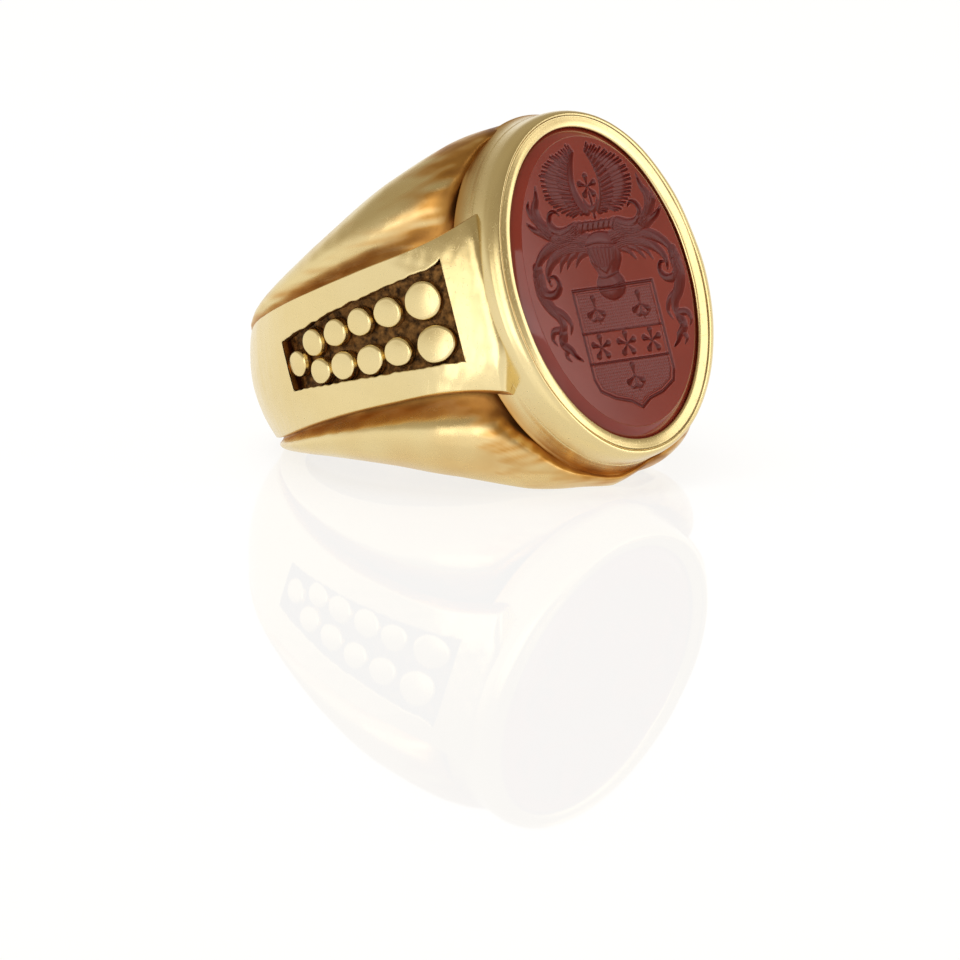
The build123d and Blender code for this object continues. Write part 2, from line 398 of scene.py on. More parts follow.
def carnelian_material():
    """Polished dark red stone, matt where it is engraved, with painted shade darkening the cuts."""
    material, shader = new_material("dark_carnelian")
    n = Nodes(material)
    carved = n.value_of("carved")
    cloud = n.noise(230.0, 4.0, 0.55)
    body = n.mix(n.remap(cloud, 0.3, 0.7), STONE_DARK, STONE_LIGHT)
    # Painted shade: the cuts are coloured darker than the polished field.
    n.link(n.mix(carved, body, CARVED_SHADE_RED), shader.inputs["Base Color"])
    grain = n.noise(9000.0, 3.0, 0.6)
    matt = n.math("MULTIPLY", carved, n.remap(grain, 0.2, 0.8, 0.2, 0.36))
    n.link(n.math("ADD", 0.07, matt), shader.inputs["Roughness"])
    shader.inputs["IOR"].default_value = 1.46
    shader.inputs["Subsurface Weight"].default_value = 0.25
    shader.inputs["Subsurface Radius"].default_value = (0.0012, 0.0003, 0.0002)
    shader.inputs["Subsurface Scale"].default_value = 1.0
    n.link(n.bump(n.math("MULTIPLY", grain, carved), 0.00001, 0.8), shader.inputs["Normal"])
    return material


GOLD = gold_material()
BLACKENED = blackened_material()
CARNELIAN = carnelian_material()


# ---------------------------------------------------------------- shank
# How far the brown stain reaches out of the creases: angles and millimetres.
STAIN_ABOVE = ((0, 14, 24, 36, 50, 75, 100, 180), (0.15, 0.45, 1.4, 2.4, 1.25, 0.65, 0.42, 0.35))
STAIN_BELOW = ((0, 18, 30, 37, 50, 75, 100, 180), (0.30, 0.65, 1.25, 1.60, 0.85, 0.42, 0.28, 0.3))


def crease_distance(points):
    """Millimetres from the nearest crease: the straps' sides or the foot of the bezel's wall."""
    mean_radius, saddle_z, front_z, far = 9, 9.0, 4, 9.0
    x, y, z = points[..., 0], points[..., 1], points[..., 2]
    angle = around_back(np.degrees(np.arctan2(x, z)))
    to_strap = np.abs(y) - smooth_table(np.maximum(angle, STRAP[0, 0]), STRAP, 1)
    oval = np.sqrt((x / WALL_FOOT[0]) ** 2 + ((y - HEAD_SHIFT) / WALL_FOOT[1]) ** 2)
    to_bezel = (oval - 1) * mean_radius + np.maximum(0, saddle_z - z) * 0.9
    to_bezel = np.where(z > front_z, to_bezel, far)
    return np.minimum(np.maximum(to_strap, 0), np.maximum(to_bezel, 0)), angle


def shank_section(a):
    """Section of the hoop at each angle a, as rows of distance along the finger and radius."""
    half, trough, ridge, foot = (smooth_table(a, STATIONS, column) for column in (1, 2, 3, 4))
    flank = FLANK_R - FLANK_DROP * np.maximum(0, 1 - a / FLANK_DROP_END)
    span = half - foot
    turn = np.minimum(FLANK_TURN, span * 0.5)
    rows = [(foot * share, trough) for share in (0.0, 0.5, 0.9)]
    for t in np.linspace(0, 1, 22):
        rows.append((foot + span * CREST_SHARE * t, trough + (ridge - trough) * smooth_step(t)))
    for t in np.linspace(0, math.pi / 2, 24)[1:]:
        out = foot + span * (CREST_SHARE + (1 - CREST_SHARE) * math.sin(t))
        rows.append((out, flank + (ridge - flank) * math.cos(t) ** 1.35))
    for t in np.linspace(0, 1, 10)[1:]:
        rows.append((half - turn * (1 - math.sqrt(1 - t * t)), flank + (BORE_R - flank) * t))
    for share in (0.94, 0.7, 0.4, 0.0):
        rows.append(((half - turn) * share, BORE_R + 0 * half))
    return rows + [(-y, r) for y, r in rows[-2:0:-1]]


def shank_stain_and_shade(points, radius, outer):
    """Streaky brown stain out of the creases, over a faint tone; on the low side that tone turns a deeper
    amber, which is a painted reflection.
    """
    distance, angle = crease_distance(points)
    y = points[..., 1]
    # Painted reflection: a deeper amber tone on the low side, strongest near the bezel.
    low_side_reflection = np.clip((-y - 4.0) / 4.0, 0, 1) * np.interp(angle, (0, 60, 110), (1.0, 0.8, 0.3))
    tone = 0.05 + 0.15 * low_side_reflection + 0.03 * lumps(points, 3.0, 7)
    reach = np.where(y > 0, np.interp(angle, *STAIN_ABOVE), np.interp(angle, *STAIN_BELOW))
    streak = lumps(np.stack((np.radians(angle) * 3.5, y * 1.7, radius * 1.7), -1), 1.0, 5)
    patina_and_shade = 0.70 * np.exp(-(distance / (reach * (1 + 0.22 * streak))) ** 1.25) * (1 + 0.12 * streak)
    patina_and_shade = np.minimum(patina_and_shade + 0.15 * np.exp(-(distance / 0.12) ** 2), 0.82) * outer
    return np.clip(np.maximum(patina_and_shade, tone * outer), 0, 1)


def shank_mesh():
    """Hoop with both flutes and ridges, still closed behind the stone."""
    angles = np.arange(0, 360, 0.4)
    a = around_back(angles)
    section = shank_section(a)
    along = np.stack([np.broadcast_to(y, angles.shape) for y, _ in section], 1)
    radius = np.stack([np.broadcast_to(r, angles.shape) for _, r in section], 1)
    near_head = np.clip((BAND_SHIFT_END - a) / (BAND_SHIFT_END - BAND_SHIFT_FULL), 0, 1)
    along = along - BAND_SHIFT * near_head[:, None]
    right = np.interp(angles, (0, 12, 30, 50, 360), (0, 1, 1, 0, 0))
    along = along * (1 - RIGHT_NARROWING * right)[:, None]
    points = hoop_point(angles[:, None], along, radius)
    outer = np.clip((radius - BORE_R) / 0.5, 0, 1)
    wave = 0.012 * lumps(points, 3.5, 1) + 0.006 * lumps(points, 1.3, 2)
    radius = radius + wave * outer
    points = hoop_point(angles[:, None], along, radius)
    faces = grid_faces(len(angles), len(section), True, True)[:, ::-1]
    patina_and_shade = shank_stain_and_shade(points, radius, outer)
    return make_mesh("shank_hoop", points.reshape(-1, 3), faces.tolist(), {"patina_and_shade": patina_and_shade})


def cutter(oval, low, high):
    """Oval block used to cut the open back."""
    steps = 96
    t = np.linspace(0, 2 * math.pi, steps, endpoint=False)
    ring = np.stack((oval[0] * np.cos(t), HEAD_SHIFT + oval[1] * np.sin(t)), -1)
    points = np.concatenate([np.column_stack((ring, np.full(steps, z))) for z in (low, high)])
    faces = [[i, (i + 1) % steps, steps + (i + 1) % steps, steps + i] for i in range(steps)]
    faces += [list(range(steps))[::-1], list(range(steps, 2 * steps))]
    return make_mesh("cutter", points, faces, {"patina_and_shade": np.zeros(2 * steps)})


def cut_open(piece, tool):
    """Cut the tool's shape out of a piece, and remove the tool."""
    modifier = piece.modifiers.new("open_back", "BOOLEAN")
    modifier.operation = "DIFFERENCE"
    modifier.solver = "EXACT"
    modifier.object = tool
    bpy.context.view_layer.objects.active = piece
    bpy.ops.object.modifier_apply(modifier="open_back")
    bpy.data.objects.remove(tool)


shank = shank_mesh()
cut_open(shank, cutter(WINDOW_OVAL, WINDOW_LOW, WINDOW_HIGH))
finish_piece(shank, ["shank"], GOLD)


# ---------------------------------------------------------------- straps
def panel_half(angles):
    """Half-width of the panel's window, and of the line that it would follow past its ends."""
    share = np.clip((angles - PANEL_START) / (PANEL_END - PANEL_START), -0.15, 1.3)
    return PANEL_HALF_START + (PANEL_HALF_END - PANEL_HALF_START) * share


def strap_section(half, panel):
    """Rows across the strap, as distance along the finger and drop, and the row of the window's edge."""
    corner, inner = STRAP_CORNER, panel + PANEL_LIP
    rows = [(half, -STRAP_SIDE), (half, -STRAP_SIDE * 0.5)]
    for t in np.linspace(0, math.pi / 2, 9):
        rows.append((half - corner * (1 - math.cos(t)), -corner * (1 - math.sin(t))))
    for t in np.linspace(0, 1, 16)[1:]:
        rows.append(((half - corner) * (1 - t) + inner * t, 0 * half))
    for t in np.linspace(0, math.pi / 2, 5)[1:]:
        rows.append((inner - PANEL_LIP * math.sin(t), -PANEL_LIP * (1 - math.cos(t)) + 0 * half))
    middle = len(rows)
    for t in np.linspace(1, 0, 14)[1:]:
        rows.append((panel * t, 0 * half))
    return rows + [(-y, r) for y, r in rows[-2::-1]], middle


def ragged_edges(side, angles, panel):
    """Slightly uneven upper and lower edges of the window; the upper corner by the bezel is drawn out."""
    edge = hoop_point(side * angles, 0 * angles, strap_radius(angles))
    corner = 0.28 * np.exp(-np.maximum(angles - PANEL_START, 0) / 1.1)
    upper = panel + 0.022 * lumps(edge, 0.7, 51 + side) + corner + PANEL_SHIFT
    lower = panel + 0.022 * lumps(edge, 0.7, 53 + side) - PANEL_SHIFT
    return upper, lower


def window_walls(top_edge, depth_steps):
    """Vertices of the window's walls, one ring for each depth below the strap's top."""
    lift = np.linalg.norm(top_edge[:, [0, 2]], axis=1)
    walls = []
    for depth in depth_steps:
        ring = top_edge.copy()
        ring[:, [0, 2]] *= ((lift - depth) / lift)[:, None]
        walls.append(ring)
    return walls


def strap_mesh(side):
    """Raised strap with a window; side is +1 or -1."""
    name = "right" if side > 0 else "left"
    before = np.linspace(STRAP_START, PANEL_START - 0.12, 60)
    inside = np.linspace(PANEL_START, PANEL_END, 260)
    after = np.linspace(PANEL_END + 0.12, 180.0, 280)
    angles = np.concatenate((before, inside, after))
    half = smooth_table(angles, STRAP, 1)
    panel = np.minimum(panel_half(angles), half * 0.8)
    upper, lower = ragged_edges(side, angles, panel)
    section, middle = strap_section(half, panel)
    along = np.stack([np.broadcast_to(y, angles.shape) for y, _ in section], 1)
    drop = np.stack([np.broadcast_to(r, angles.shape) for _, r in section], 1)
    beside = ((angles >= PANEL_START) & (angles <= PANEL_END))[:, None]
    from_edge = np.abs(np.abs(along) - panel[:, None])
    near_window = beside & (from_edge < 0.08)
    drop = np.where(near_window | (drop < -0.07), drop, 0.0)
    closeness = np.exp(-((from_edge / 0.5) ** 2)) * beside
    along = along + closeness * np.where(along > 0, (upper - panel)[:, None], (panel - lower)[:, None])
    share = along / half[:, None]
    crown = STRAP_CROWN * (1 - share**2) - edge_drop(angles)[:, None] * share**4
    dome = back_dome(angles)[:, None] * (STRAP_BACK_RISE - (STRAP_BACK_RISE + STRAP_BACK_FALL) * share**2)
    towards_end = np.clip((CORNER_FALL_END - angles) / CORNER_FALL_LENGTH, 0, 1)[:, None]
    corner_fall = CORNER_FALL * (towards_end * np.clip((-share - 0.5) / 0.5, 0, 1)) ** 1.5
    radius = strap_radius(angles)[:, None] + drop + crown + dome - corner_fall
    points = hoop_point(side * angles[:, None], along, radius)
    radius = radius + 0.008 * lumps(points, 2.8, 11 + side) + 0.004 * lumps(points, 0.9, 21 + side)
    points = hoop_point(side * angles[:, None], along, radius)
    columns = len(section)
    first, last = len(before), len(before) + len(inside) - 1
    rows, cells = np.arange(len(angles) - 1)[:, None], np.arange(columns - 1)[None, :]
    hole = (rows >= first) & (rows < last) & (cells >= middle - 1) & (cells < columns - middle)
    faces = grid_faces(len(angles), columns, False, False, ~hole)
    flat = points.reshape(-1, 3)
    numbers = np.arange(len(flat)).reshape(len(angles), columns)
    edge = border(numbers[first:last + 1, middle - 1:columns - middle + 1])
    depths = (0.12, 0.4, 0.75)
    walls = window_walls(flat[edge], depths)
    count = len(edge)
    wall_faces = ring_faces([edge] + [len(flat) + k * count + np.arange(count) for k in range(len(depths))])
    if side > 0:
        faces = faces[:, ::-1]
    else:
        wall_faces = wall_faces[:, ::-1]
    # The strap's sides take crease patina; the window's walls take painted shade that deepens with depth.
    side_drop = np.concatenate([np.clip(-drop.ravel() / 0.5, 0, 1), np.zeros(count * len(depths))])
    depth_of = np.concatenate([np.zeros(len(flat))] + [np.full(count, d) for d in depths])
    patina_and_shade = np.clip(side_drop * 0.8 + depth_of / 0.3, 0, 1)
    piece = make_mesh(f"{name}_strap", np.concatenate([flat] + walls),
                      np.concatenate((faces, wall_faces)).tolist(), {"patina_and_shade": patina_and_shade})
    return finish_piece(piece, [f"{name}_shoulder_strap"], GOLD)


def floor_mesh(side):
    """Rough floor plate of the sunk panel."""
    name = "right" if side > 0 else "left"
    angles = np.linspace(PANEL_START - 0.25, PANEL_END + 0.25, 220)
    across = np.linspace(-1, 1, 70)
    along = PANEL_SHIFT + across[None, :] * (panel_half(angles)[:, None] + 0.06)
    points = hoop_point(side * angles[:, None], along, strap_radius(angles)[:, None])
    rough = 0.06 * np.abs(across)[None, :] ** 10 + 0.018 * lumps(points, 0.5, 31 + side)
    radius = (strap_radius(angles) - PANEL_DEPTH)[:, None] + rough
    points = hoop_point(side * angles[:, None], along, radius)
    faces = grid_faces(len(angles), len(across), False, False)
    if side > 0:
        faces = faces[:, ::-1]
    piece = make_mesh(f"{name}_floor", points.reshape(-1, 3), faces.tolist(), {})
    return finish_piece(piece, [f"{name}_panel_floor"], BLACKENED)


def bead_outline(radius):
    """Side and top of a bead from the floor up, as shares of its radius and heights."""
    top = 1 - BEAD_BROW / radius
    outline = [(0.94, -0.12), (0.97, 0.02)]
    outline += [(1.0 + 0.05 * math.sin(math.pi * t), BEAD_EDGE * t) for t in np.linspace(0.1, 0.95, 8)]
    for t in np.linspace(0, math.pi / 2, 9):
        rise = (BEAD_PROUD - BEAD_EDGE) * math.sin(t)
        outline.append((1 - BEAD_BROW / radius * (1 - math.cos(t)), BEAD_EDGE + rise))
    outline += [(top * t, BEAD_PROUD + BEAD_CROWN * (1 - t * t)) for t in (0.85, 0.65, 0.45, 0.22)]
    return outline


def bead_mesh(side, number, angle, along, radius):
    """One flattened bead: a nearly flat, slightly tilted top over a swollen side."""
    name = "right" if side > 0 else "left"
    rng = np.random.default_rng(100 * number + (side > 0))
    a = math.radians(angle)
    base_r = float(strap_radius(angle)) - PANEL_DEPTH
    slope = (float(strap_radius(angle + 0.5)) - float(strap_radius(angle - 0.5))) / math.radians(1) / base_r
    lean = a - math.atan(slope)
    up = np.array((side * math.sin(lean), 0, math.cos(lean)))
    finger = np.array((0.0, 1.0, 0.0))
    sideways = np.cross(finger, up)
    foot = np.array((side * base_r * math.sin(a), along, base_r * math.cos(a)))
    spokes = 72
    turn = np.linspace(0, 2 * math.pi, spokes, endpoint=False)
    wobble = 1 + 0.022 * np.sin(2 * turn + rng.uniform(0, 6)) + 0.016 * np.sin(3 * turn + rng.uniform(0, 6))
    wobble += 0.006 * np.sin(7 * turn + rng.uniform(0, 6))
    tilt = rng.uniform(-0.035, 0.035, 2)
    outline = bead_outline(radius)
    rows = []
    for out, height in outline:
        x, y = radius * out * wobble * np.cos(turn), radius * out * wobble * np.sin(turn)
        z = height + max(0.0, height / BEAD_PROUD) * (tilt[0] * x + tilt[1] * y)
        rows.append(foot + x[:, None] * sideways + y[:, None] * finger + z[:, None] * up)
    points = np.concatenate(rows + [(foot + (BEAD_PROUD + BEAD_CROWN) * up)[None]])
    faces = grid_faces(len(rows), spokes, False, True).tolist()
    last = (len(rows) - 1) * spokes
    faces += [[last + i, last + (i + 1) % spokes, len(points) - 1] for i in range(spokes)]
    height_of = np.concatenate([np.full(spokes, h) for _, h in outline] + [[BEAD_PROUD]])
    # Painted shade: the bead darkens towards its foot.
    patina_and_shade = np.clip(1 - height_of / (0.55 * BEAD_PROUD), 0, 1)
    piece = make_mesh(f"{name}_bead_top_{number:02d}", points, faces, {"patina_and_shade": patina_and_shade})
    return finish_piece(piece, [f"{name}_bead_{number:02d}"], GOLD)


for side in (1, -1):
    strap_mesh(side)
    floor_mesh(side)
    for number, bead in enumerate(BEADS, start=1):
        bead_mesh(side, number, *bead)


# ---------------------------------------------------------------- bezel
# Sections: half-width, half-length, height. Near ones are on the -X side, far ones on the +X side.
RIM_SIDE = [(8.01, 9.90, 12.00), (8.04, 9.92, 11.60), (8.055, 9.93, 11.41), (8.03, 9.91, 11.395),
            (7.60, 9.60, 11.395)]
RIM_NEAR = [(7.25, 9.45, 12.30), (7.25, 9.45, 12.91), (7.27, 9.465, 12.96), (7.36, 9.53, 12.985),
            (7.50, 9.61, 12.91), (7.64, 9.69, 12.80), (7.78, 9.77, 12.66), (7.90, 9.835, 12.51),
            (7.97, 9.875, 12.32)] + RIM_SIDE
RIM_FAR = [(7.25, 9.45, 12.30), (7.25, 9.45, 12.99), (7.265, 9.46, 13.005), (7.36, 9.53, 13.035),
           (7.52, 9.62, 13.03), (7.68, 9.70, 12.96), (7.81, 9.765, 12.83), (7.91, 9.825, 12.62),
           (7.97, 9.875, 12.34)] + RIM_SIDE
LIP_NEAR = [(6.62, 8.82, 12.70), (6.60, 8.80, 12.92), (6.62, 8.82, 13.00), (6.68, 8.88, 13.03),
            (6.85, 9.05, 13.01), (7.02, 9.22, 12.96), (7.17, 9.37, 12.91), (7.235, 9.435, 12.87),
            (7.235, 9.435, 12.60)]
LIP_FAR = [(6.62, 8.82, 12.70), (6.60, 8.80, 12.86), (6.63, 8.83, 12.92), (6.70, 8.90, 12.955),
           (6.87, 9.07, 12.985), (7.04, 9.24, 13.00), (7.18, 9.38, 13.01), (7.235, 9.435, 12.995),
           (7.235, 9.435, 12.60)]
WALL = [(7.60, 9.60, 11.385), (7.98, 9.90, 11.385), (8.04, 9.95, 11.37), (8.055, 9.965, 11.25),
        (8.08, 9.99, 11.0), (8.14, 10.05, 10.7), (8.24, 10.14, 10.42), (8.33, 10.22, 10.22),
        (8.0, 9.9, 10.2)]


def oval_sweep(name, node, near, far, steps, closed, seed, stain_and_shade_at):
    """Ring of oval sections that change smoothly from the near section to the far one."""
    spokes = 720
    t = np.linspace(0, 2 * math.pi, spokes, endpoint=False)
    near, far = curve(near, steps)[::-1], curve(far, steps)[::-1]
    share = 1 - (0.5 - 0.5 * np.cos(t + 0.25)) ** 3
    rows = near[:, :, None] + (far - near)[:, :, None] * share
    points = np.stack((rows[:, 0] * np.cos(t), rows[:, 1] * np.sin(t), rows[:, 2]), -1)
    points = points + (0.010 * lumps(points, 4.0, seed))[..., None] * np.array((0.6, 0.6, 1.0))
    points[..., 1] += HEAD_SHIFT
    faces = grid_faces(len(near), spokes, closed, True)
    patina_and_shade = np.stack([stain_and_shade_at(row, t) + 0 * t for row in near])
    piece = make_mesh(name, points.reshape(-1, 3), faces.tolist(), {"patina_and_shade": np.clip(patina_and_shade, 0, 1)})
    return finish_piece(piece, [node], GOLD)


def groove_stain(row, t):
    """Dirt in the line between the rim and the lip, on the -X side."""
    return 0.75 * max(0, 1 - abs(row[0] - 7.245) / 0.035) * (0.5 - 0.5 * np.cos(t)) ** 2


def groove_dirt_and_seat_shade(row, t):
    """Dirt in the same line, and painted shade on the lip's inner face down towards the stone."""
    return groove_stain(row, t) + (max(0, 12.95 - row[2]) * 5 if row[0] < 6.7 else 0.0)


def foot_stain(row, t):
    """Tone that deepens towards the foot of the wall."""
    return 0.05 + max(0, 10.95 - row[2]) * 0.55


oval_sweep("rim_moulding", "bezel_rim", RIM_NEAR, RIM_FAR, 8, True, 41, groove_stain)
oval_sweep("lip_and_collet", "bezel_collet", LIP_NEAR, LIP_FAR, 6, False, 42, groove_dirt_and_seat_shade)
oval_sweep("gallery_wall", "bezel_gallery", WALL, WALL, 6, False, 43, foot_stain)


# ---------------------------------------------------------------- stone
# The engraving is drawn in millimetres on the table, X across and Y along; AXIS_X is its upright axis.
AXIS_X = 0.15


class Relief:
    """Depth in millimetres cut into the stone's table, over points of the table."""

    def __init__(self, x, y):
        self.x, self.y = x, y
        self.depth = np.zeros_like(x)
        self.rough = np.zeros_like(x)

    def near(self, points, reach):
        """Distance to a line of points, and how far along it the nearest place is, 0 to 1."""
        p = np.asarray(points, float)
        box = ((self.x > p[:, 0].min() - reach) & (self.x < p[:, 0].max() + reach)
               & (self.y > p[:, 1].min() - reach) & (self.y < p[:, 1].max() + reach))
        x, y = self.x[box], self.y[box]
        best = np.full(x.shape, 9.0)
        where = np.zeros(x.shape)
        for k in range(len(p) - 1):
            run = p[k + 1] - p[k]
            t = np.clip(((x - p[k, 0]) * run[0] + (y - p[k, 1]) * run[1]) / (run @ run + 1e-12), 0, 1)
            d = np.hypot(x - p[k, 0] - t * run[0], y - p[k, 1] - t * run[1])
            closer = d < best
            best[closer] = d[closer]
            where[closer] = (k + t[closer]) / (len(p) - 1)
        return box, best, where

    def dig(self, box, depth):
        """Keep the deeper of the old and new cut."""
        self.depth[box] = np.maximum(self.depth[box], depth)
        self.rough[box] = np.maximum(self.rough[box], np.clip(depth / 0.025, 0, 1))

    def stroke(self, points, width, depth, tip=0.15, root=1.0):
        """Round-bottomed cut along a curve, tapering from root to tip (shares of the width)."""
        path = curve(points, 6) if len(points) > 2 else np.asarray(points, float)
        box, d, t = self.near(path, width)
        w = width / 2 * (root + (tip - root) * t**1.5)
        self.dig(box, depth * np.sqrt(np.clip(w * 2 / width, 0, 1)) * np.clip(1 - (d / w) ** 2, 0, 1))

    def groove(self, points, width, depth, smooth=6):
        """Fine line engraved on top of what is there already."""
        path = curve(points, smooth) if len(points) > 2 else np.asarray(points, float)
        box, d, _ = self.near(path, width)
        cut = depth * np.clip(1 - (2 * d / width) ** 2, 0, 1)
        self.depth[box] += cut
        self.rough[box] = np.maximum(self.rough[box], np.clip(cut / 0.02, 0, 1))

    def inside(self, outline):
        """Signed distance to a closed outline, positive inside."""
        p = np.asarray(outline, float)
        box, d, _ = self.near(np.concatenate((p, p[:1])), 0.3)
        x, y = self.x[box], self.y[box]
        odd = np.zeros(x.shape, bool)
        for (ax, ay), (bx, by) in zip(p, np.roll(p, -1, axis=0)):
            crosses = (ay > y) != (by > y)
            odd ^= crosses & (x < ax + (y - ay) * (bx - ax) / (by - ay + 1e-12))
        return box, np.where(odd, d, -d)

    def sink(self, outline, depth, edge):
        """Area cut down with a bowl-shaped edge."""
        box, d = self.inside(outline)
        rise = np.clip(d / edge, 0, 1)
        self.dig(box, depth * np.sqrt(np.clip(2 * rise - rise**2, 0, 1)))

    def rosette(self, cx, cy, size, petals, depth):
        """Open flower of round petals with a raised centre; the first petal points up."""
        for k in range(petals):
            a = math.radians(90 + 360 * k / petals)
            c, n = size * math.cos(a), size * math.sin(a)
            petal = [(cx + share * c, cy + share * n) for share in (0.24, 0.78)]
            vein = [(cx + share * c, cy + share * n) for share in (0.3, 0.8)]
            self.stroke(petal, 0.62 * size, depth, tip=0.9, root=0.35)
            self.groove(vein, 0.12 * size, 0.03)
        self.stroke([(cx - 0.01, cy), (cx + 0.01, cy)], 0.34 * size, depth * 0.6, tip=1.0)


# Mantling on the left: path, width, depth. The first VEINED strokes are leaves with veins.
MANTLING = [
    ([(-1.2, 3.05), (-2.1, 2.72), (-3.1, 2.72), (-4.0, 3.1), (-4.55, 3.35), (-4.95, 3.72)], 0.62, 0.20),
    ([(-3.3, 2.9), (-4.0, 3.6), (-4.15, 4.4), (-3.85, 5.0), (-3.7, 5.65)], 0.60, 0.18),
    ([(-3.2, 2.95), (-4.3, 3.9), (-4.6, 4.5), (-4.45, 4.95)], 0.42, 0.16),
    ([(-1.5, 3.2), (-2.3, 3.0), (-2.95, 3.12), (-3.3, 3.55), (-3.15, 4.05), (-2.75, 4.2),
      (-2.45, 3.95)], 0.42, 0.19),
    ([(-0.7, 2.25), (-1.9, 2.55), (-3.2, 2.35), (-4.25, 1.95), (-4.95, 1.3), (-5.1, 0.55)], 0.72, 0.20),
    ([(-0.8, 1.95), (-1.9, 2.1), (-3.1, 1.85), (-3.9, 1.4), (-4.35, 0.8), (-4.3, 0.2)], 0.66, 0.17),
    ([(-5.0, 1.2), (-5.1, 0.4), (-4.75, -0.25), (-4.1, -0.3), (-3.7, 0.1), (-3.85, 0.6),
      (-4.25, 0.65)], 0.50, 0.20),
    ([(-5.05, 0.7), (-5.1, -0.2), (-4.75, -1.0), (-4.25, -1.6), (-4.15, -2.2), (-4.5, -2.7),
      (-4.25, -3.3)], 0.62, 0.20),
    ([(-4.3, -2.5), (-4.45, -3.1), (-4.0, -3.5), (-3.75, -3.85), (-3.35, -4.15)], 0.44, 0.18),
    ([(-4.6, -1.1), (-3.9, -1.5), (-3.55, -2.1), (-3.75, -2.6)], 0.34, 0.15),
    ([(-4.45, -2.3), (-4.95, -2.35), (-5.15, -2.75), (-4.95, -3.1)], 0.32, 0.15),
    ([(-1.2, 1.75), (-1.7, 1.5), (-2.15, 1.0)], 0.34, 0.13),
    ([(-1.8, 1.8), (-2.4, 1.5), (-2.85, 0.95)], 0.34, 0.13),
    ([(-2.5, 1.75), (-3.05, 1.4), (-3.4, 0.85)], 0.32, 0.13),
    ([(-4.2, -3.3), (-4.45, -3.75), (-4.2, -4.1)], 0.26, 0.12),
]
VEINED = 9
WING_SPINE = [(-0.35, 3.95), (-0.75, 4.6), (-0.95, 5.5), (-0.75, 6.5), (-0.35, 7.35)]
WING_TIPS = [(-1.5, 3.75), (-2.55, 4.3), (-3.15, 5.2), (-3.1, 6.2), (-2.4, 6.95), (-1.3, 7.45),
             (-0.5, 7.75)]
WREATH = [(-1.55, 3.12), (-1.45, 3.42), (1.75, 3.42), (1.85, 3.12), (1.75, 2.88), (-1.45, 2.88)]
HELM = [(-1.00, 1.95), (-0.70, 2.60), (0.15, 2.82), (1.05, 2.60), (1.45, 1.90), (1.35, 1.10), (0.95, 0.45),
        (1.20, -0.10), (1.00, -0.75), (0.15, -1.10), (-0.70, -0.75), (-0.95, -0.10), (-0.65, 0.45),
        (-1.00, 1.10), (-1.00, 1.95)]
VISOR = [(-0.80, 2.02), (1.30, 1.92), (1.10, 1.15), (0.30, 0.42), (-0.65, 1.15)]
SHIELD = [(-2.87, -0.30), (-2.86, -5.30), (-2.60, -5.95), (-1.60, -6.45), (-0.50, -6.72), (0.20, -7.15),
          (0.90, -6.72), (2.00, -6.45), (2.95, -5.95), (3.20, -5.30), (3.22, -0.30)]
SHIELD_CENTRE = np.array((0.18, -3.4))
FESS_TOP, FESS_BOTTOM = -2.72, -4.42
HATCH_PITCH = 0.17
FESS_FLOWERS = ((-1.75, -3.57), (0.18, -3.57), (2.10, -3.57))
FIELD_TREFOILS = ((-1.50, -1.55), (1.90, -1.60), (0.18, -5.50))


def two_sides(points, side):
    """Design points on the left, or their mirror image across the design's axis."""
    return [(AXIS_X + side * (x - AXIS_X), y) for x, y in points]


def engrave_mantling(r, side, rng):
    """Leafy scrolls beside the helm and the shield."""
    for path, width, depth in MANTLING:
        r.stroke(two_sides(path, side), 1.45 * width, 1.1 * depth, tip=0.16)
    for path, width, depth in MANTLING[:VEINED]:
        line = curve(path, 6)
        heading = np.gradient(line, axis=0)
        normal = np.stack((-heading[:, 1], heading[:, 0]), -1) / np.linalg.norm(heading, axis=1)[:, None]
        taper = np.linspace(1, 0.15, len(line))[:, None]
        for offset in (-0.48, -0.30, -0.12, 0.08, 0.26, 0.44):
            vein = line + normal * offset * width * taper
            r.groove(two_sides(vein[:-2:2], side), 0.075, 0.035 + 0.01 * rng.random(), smooth=1)


def engrave_wing(r, side, rng):
    """Wing of long and short feathers that fan out of a spine."""
    spine, tips = curve(WING_SPINE, 8), curve(WING_TIPS, 8)
    body = tips[::-1] * 0.86 + spine.mean(axis=0) * 0.14
    r.sink(two_sides(np.concatenate((spine, body)), side), 0.12, 0.35)
    for t in np.linspace(0, 1, 27):
        a = spine[int(t * (len(spine) - 1))]
        b = tips[int(t * (len(tips) - 1))] + rng.normal(size=2) * 0.04
        middle = (a + b) / 2 + np.array((0.10, 0.14)) * (1 - t)
        r.stroke(two_sides([a, middle, b], side), 0.27, 0.17, tip=0.55, root=0.6)
        r.groove(two_sides([a, middle, b], side), 0.05, 0.025)
    beside = tips[np.linspace(0, len(tips) - 1, len(spine)).astype(int)]
    inner = spine + 0.42 * (beside - spine)
    for t in np.linspace(0.03, 0.97, 17):
        feather = [line[int(t * (len(line) - 1))] for line in (spine, inner)]
        r.stroke(two_sides(feather, side), 0.30, 0.24, tip=0.75, root=0.8)
    r.stroke(two_sides(spine, side), 0.52, 0.26, tip=0.5)


def engrave_sprig(r):
    """Flower on a stem with two leaves, between the wings."""
    x = AXIS_X
    r.stroke([(x, 3.6), (x + 0.04, 4.3), (x, 5.0)], 0.22, 0.16, tip=0.8)
    for side in (1, -1):
        r.stroke(two_sides([(x, 4.0), (x - 0.35, 4.25), (x - 0.55, 4.75)], side), 0.42, 0.17)
    r.rosette(x, 5.35, 0.72, 5, 0.19)


